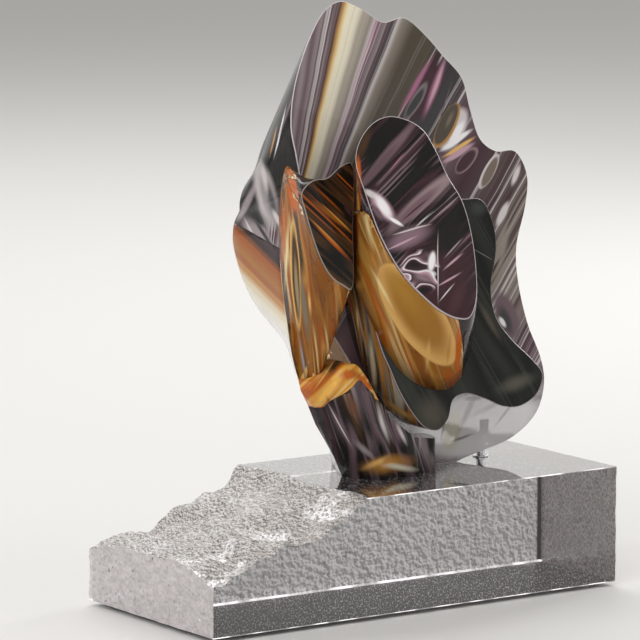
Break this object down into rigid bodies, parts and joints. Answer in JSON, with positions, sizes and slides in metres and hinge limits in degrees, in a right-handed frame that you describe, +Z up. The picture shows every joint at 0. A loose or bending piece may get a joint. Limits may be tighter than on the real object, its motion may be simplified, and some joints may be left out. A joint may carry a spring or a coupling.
{
  "type": "glass sculpture",
  "caption": "Abstract laminated glass sculpture: a fluted clear shell with stepped dark petals and amber sides, on a cast glass base with a broken ramp.",
  "frame": {"origin": "middle of the base's footprint, on the plane of the bumper feet's undersides", "axes": "+Z up, +X along the base away from its broken ramp, +Y to the back of the fluted shell"},
  "size_m": [0.306, 0.141, 0.3745],
  "materials": {
    "base_glass": "cast, pitted, polished on top",
    "clear_glass": "polished",
    "amber_glass": "polished",
    "honey_glass": "polished",
    "smoke_glass": "polished",
    "amethyst_glass": "polished",
    "pin_steel": "ground",
    "bumper": "clear soft polyurethane"
  },
  "bodies": {
    "base": {"base_block": "base_glass", "bumper_front_left": "bumper", "bumper_back_left": "bumper", "bumper_front_right": "bumper", "bumper_back_right": "bumper", "prop_seat": "pin_steel"},
    "sculpture": {"prop_pin": "pin_steel", "foot_pin": "pin_steel", "rear_shell": "clear_glass", "rear_amber_flank": "amber_glass", "foot_core": "amethyst_glass", "foot_amber_cap": "amber_glass", "left_core": "smoke_glass", "left_amber_side": "amber_glass", "middle_core": "smoke_glass", "middle_amber_side": "honey_glass", "centre_core": "amethyst_glass", "centre_amber_side": "amber_glass"}
  },
  "joints": [
    {"name": "lift_off", "type": "slide", "parent": "base", "child": "sculpture", "axis": [0, 0, 1], "range_m": [0, 0.035]}
  ]
}
